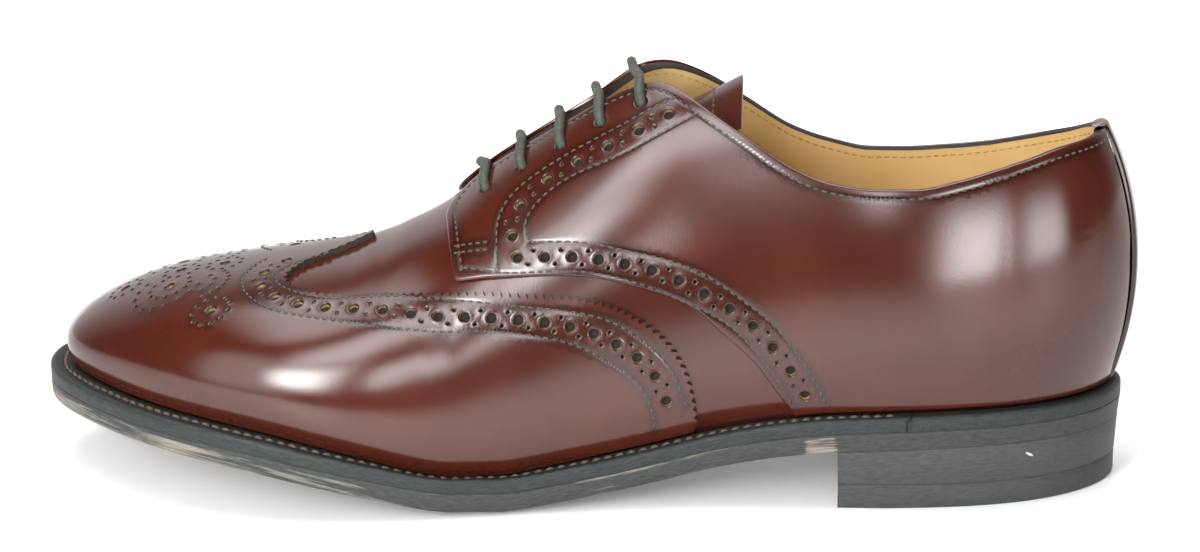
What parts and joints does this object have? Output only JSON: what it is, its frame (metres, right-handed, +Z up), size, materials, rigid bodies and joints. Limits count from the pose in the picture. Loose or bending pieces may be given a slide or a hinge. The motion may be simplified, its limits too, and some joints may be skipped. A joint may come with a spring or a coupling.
{
  "type": "wingtip brogue shoe",
  "caption": "Left wingtip derby brogue with a hollow lasted leather upper, winged toe cap, quarters, tongue, lace bars, stitched welt, arched outsole and stacked heel.",
  "frame": {"origin": "middle of the shoe's bounding box, on the floor that it stands on", "axes": "+X from toe to heel, -Y to the lateral side and +Y to the medial side, +Z up from the floor"},
  "size_m": [0.3096, 0.1042, 0.1165],
  "materials": {
    "heel_top_piece_rubber": "matt black rubber, lightly scuffed",
    "heel_stack_leather": "inked and waxed stacked leather edge",
    "outsole_leather": "inked leather edge, worn grey",
    "insole_leather": "tan vegetable-tanned leather",
    "welt_leather": "dark dyed leather, stitched",
    "heel_rand_leather": "dark dyed leather",
    "upper_leather": "polished burgundy-brown smooth calf, tan lining inside",
    "wing_leather": "polished burgundy-brown smooth calf",
    "quarter_lateral_leather": "polished burgundy-brown smooth calf",
    "quarter_medial_leather": "polished burgundy-brown smooth calf",
    "back_strip_leather": "polished burgundy-brown smooth calf",
    "tongue_leather": "satin burgundy-brown calf",
    "lace_cotton": "grey-green waxed round cotton cord"
  },
  "bodies": {
    "root": {"heel_top_piece": "heel_top_piece_rubber", "heel_stack": "heel_stack_leather", "outsole": "outsole_leather", "insole": "insole_leather", "welt": "welt_leather", "heel_rand": "heel_rand_leather", "upper": "upper_leather", "wing_cap": "wing_leather", "quarter_lateral": "quarter_lateral_leather", "quarter_medial": "quarter_medial_leather", "back_strip": "back_strip_leather", "tongue": "tongue_leather", "lace_bar_1": "lace_cotton", "lace_bar_2": "lace_cotton", "lace_bar_3": "lace_cotton", "lace_bar_4": "lace_cotton", "lace_bar_5": "lace_cotton"}
  },
  "joints": []
}
